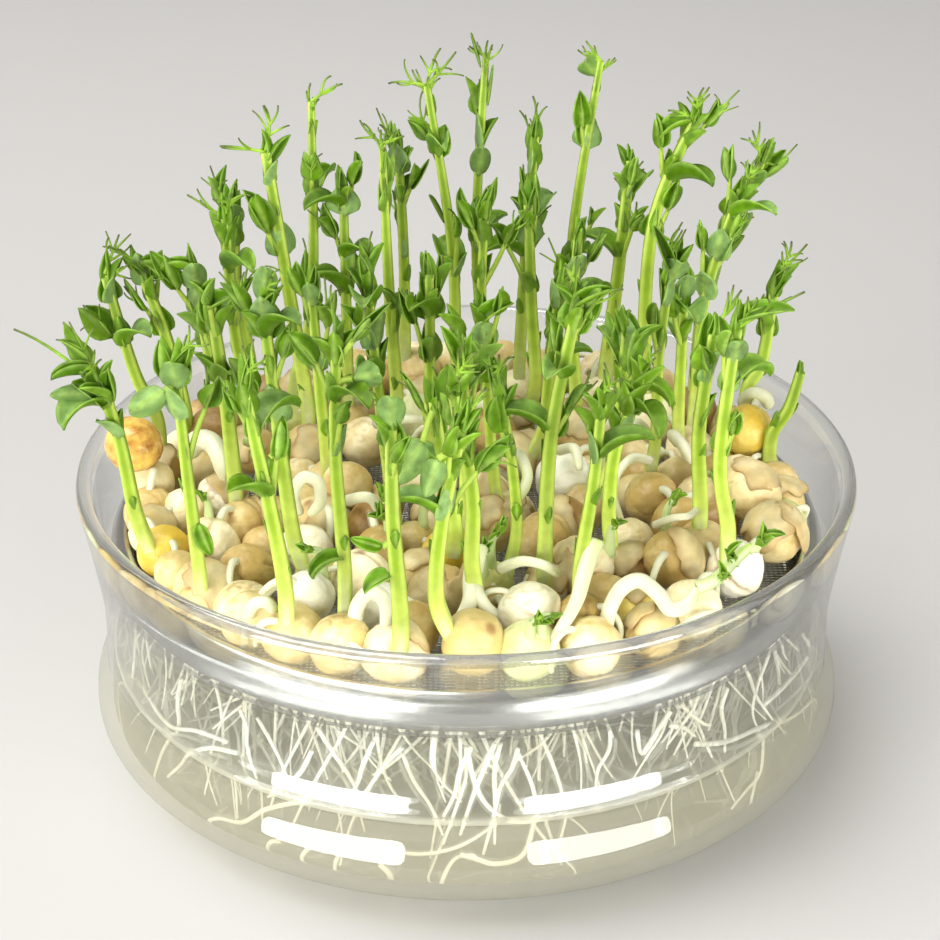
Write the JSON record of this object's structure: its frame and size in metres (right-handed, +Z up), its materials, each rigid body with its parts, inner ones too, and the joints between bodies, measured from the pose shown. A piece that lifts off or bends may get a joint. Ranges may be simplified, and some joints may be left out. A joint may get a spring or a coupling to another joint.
{
  "type": "pea shoot microgreens tray",
  "caption": "Pea shoots growing from swollen peas on a steel sieve in a clear glass sprouting bowl, with hanging roots and nutrient water below.",
  "frame": {"origin": "centre of the bowl's flat base, on the surface it stands on", "axes": "+Z up along the bowl's axis, -Y towards the front, +X to the right seen from the front"},
  "size_m": [0.1528, 0.15, 0.1331],
  "materials": {
    "glass": "clear, smooth",
    "water": "cloudy water",
    "polished_steel": "polished",
    "woven_steel": "fine woven wire",
    "root": "cream white, soft",
    "pea": "swollen skin, slightly wrinkled",
    "shoot": "smooth leaf and stem"
  },
  "bodies": {
    "root": {"glass_bowl": "glass", "water": "water", "sieve_ring": "polished_steel", "sieve_mesh": "woven_steel", "root_mat": "root", "pea_seeds": "pea", "shoot_01": "shoot", "shoot_02": "shoot", "shoot_03": "shoot", "shoot_04": "shoot", "shoot_05": "shoot", "shoot_06": "shoot", "shoot_07": "shoot", "shoot_08": "shoot", "shoot_09": "shoot", "shoot_10": "shoot", "shoot_11": "shoot", "shoot_12": "shoot", "shoot_13": "shoot", "shoot_14": "shoot", "shoot_15": "shoot", "shoot_16": "shoot", "shoot_17": "shoot", "shoot_18": "shoot", "shoot_19": "shoot", "shoot_20": "shoot", "shoot_21": "shoot", "shoot_22": "shoot", "shoot_23": "shoot", "shoot_24": "shoot", "shoot_25": "shoot", "shoot_26": "shoot", "shoot_27": "shoot", "shoot_28": "shoot", "shoot_29": "shoot", "shoot_30": "shoot", "shoot_31": "shoot", "shoot_32": "shoot", "shoot_33": "shoot", "shoot_34": "shoot", "shoot_35": "shoot", "shoot_36": "shoot", "shoot_37": "shoot", "shoot_38": "shoot", "shoot_39": "shoot", "shoot_40": "shoot", "shoot_41": "shoot", "shoot_42": "shoot", "shoot_43": "shoot", "shoot_44": "shoot", "shoot_45": "shoot", "shoot_46": "shoot", "shoot_47": "shoot", "shoot_48": "shoot"}
  },
  "joints": []
}
